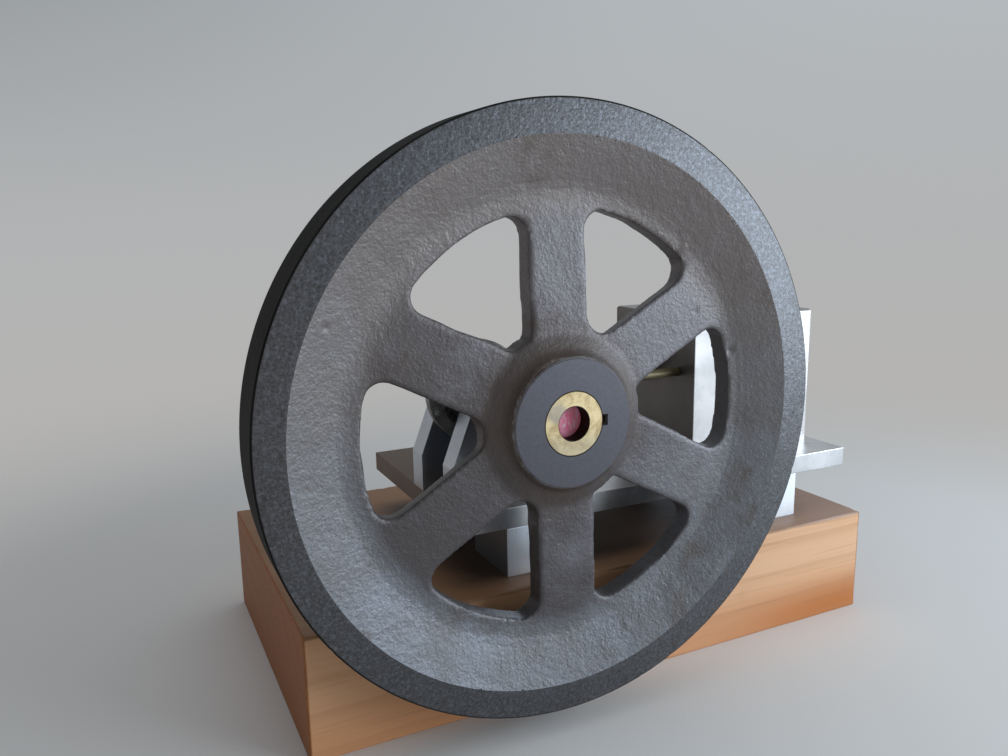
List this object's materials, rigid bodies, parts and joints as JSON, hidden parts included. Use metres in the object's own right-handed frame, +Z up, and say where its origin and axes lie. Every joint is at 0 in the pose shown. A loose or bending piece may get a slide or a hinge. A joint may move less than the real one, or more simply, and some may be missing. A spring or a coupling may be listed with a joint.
{
  "type": "model stationary steam engine",
  "caption": "Small horizontal model steam engine: cast spoked flywheel on a crankshaft in two plate pedestals, with a cylinder block on a raised bed plate over a timber block.",
  "frame": {"origin": "centre of the timber block's underside", "axes": "+Z up, +X along the block towards the cylinder, -Y the flywheel side; the crankshaft lies along Y"},
  "size_m": [0.2655, 0.1617, 0.213],
  "materials": {
    "timber": "dressed softwood, varnished",
    "aluminium_plate": "sawn and filed",
    "aluminium_bar": "satin bar",
    "cylinder": "milled",
    "cast_iron": "sand cast with a machined rim band",
    "shaft_steel": "turned",
    "dark_steel": "oiled black",
    "rod_steel": "filed",
    "brass": "turned, scratched"
  },
  "bodies": {
    "engine_frame": {"timber_base": "timber", "front_left_post": "aluminium_bar", "front_right_post": "aluminium_bar", "rear_left_post": "aluminium_bar", "rear_right_post": "aluminium_bar", "bed_plate": "aluminium_plate", "near_pedestal": "aluminium_plate", "far_pedestal": "aluminium_plate", "near_bearing_bush": "brass", "far_bearing_bush": "brass", "cylinder_block": "cylinder", "piston_gland": "brass"},
    "crankshaft_set": {"flywheel": "cast_iron", "flywheel_bush": "brass", "crankshaft": "shaft_steel", "eccentric_sheave": "shaft_steel", "crank_disc": "shaft_steel", "crank_pin": "shaft_steel"},
    "eccentric_link": {"eccentric_strap": "dark_steel", "eccentric_rod": "brass"},
    "valve_slider": {"valve_rod": "brass"},
    "connecting_link": {"connecting_rod": "rod_steel"},
    "piston_slider": {"piston_rod": "shaft_steel"}
  },
  "joints": [
    {"name": "crank_spin", "type": "hinge", "parent": "engine_frame", "child": "crankshaft_set", "pos_m": [-0.0385, 0, 0.111], "axis": [0, 1, 0], "continuous": true},
    {"name": "eccentric_pivot", "type": "hinge", "parent": "crankshaft_set", "child": "eccentric_link", "pos_m": [-0.044, 0, 0.111], "axis": [0, 1, 0], "continuous": true},
    {"name": "crank_pin_pivot", "type": "hinge", "parent": "crankshaft_set", "child": "connecting_link", "pos_m": [-0.0385, 0, 0.099], "axis": [0, 1, 0], "continuous": true},
    {"name": "valve_slide", "type": "slide", "parent": "engine_frame", "child": "valve_slider", "axis": [1, 0, 0], "range_m": [0, 0.011]},
    {"name": "piston_slide", "type": "slide", "parent": "engine_frame", "child": "piston_slider", "axis": [1, 0, 0], "range_m": [-0.0105, 0.0134]}
  ],
  "couplings": [
    {"joint": "eccentric_pivot", "follows": "crank_spin", "ratio": -1},
    {"joint": "crank_pin_pivot", "follows": "crank_spin", "ratio": -1}
  ]
}
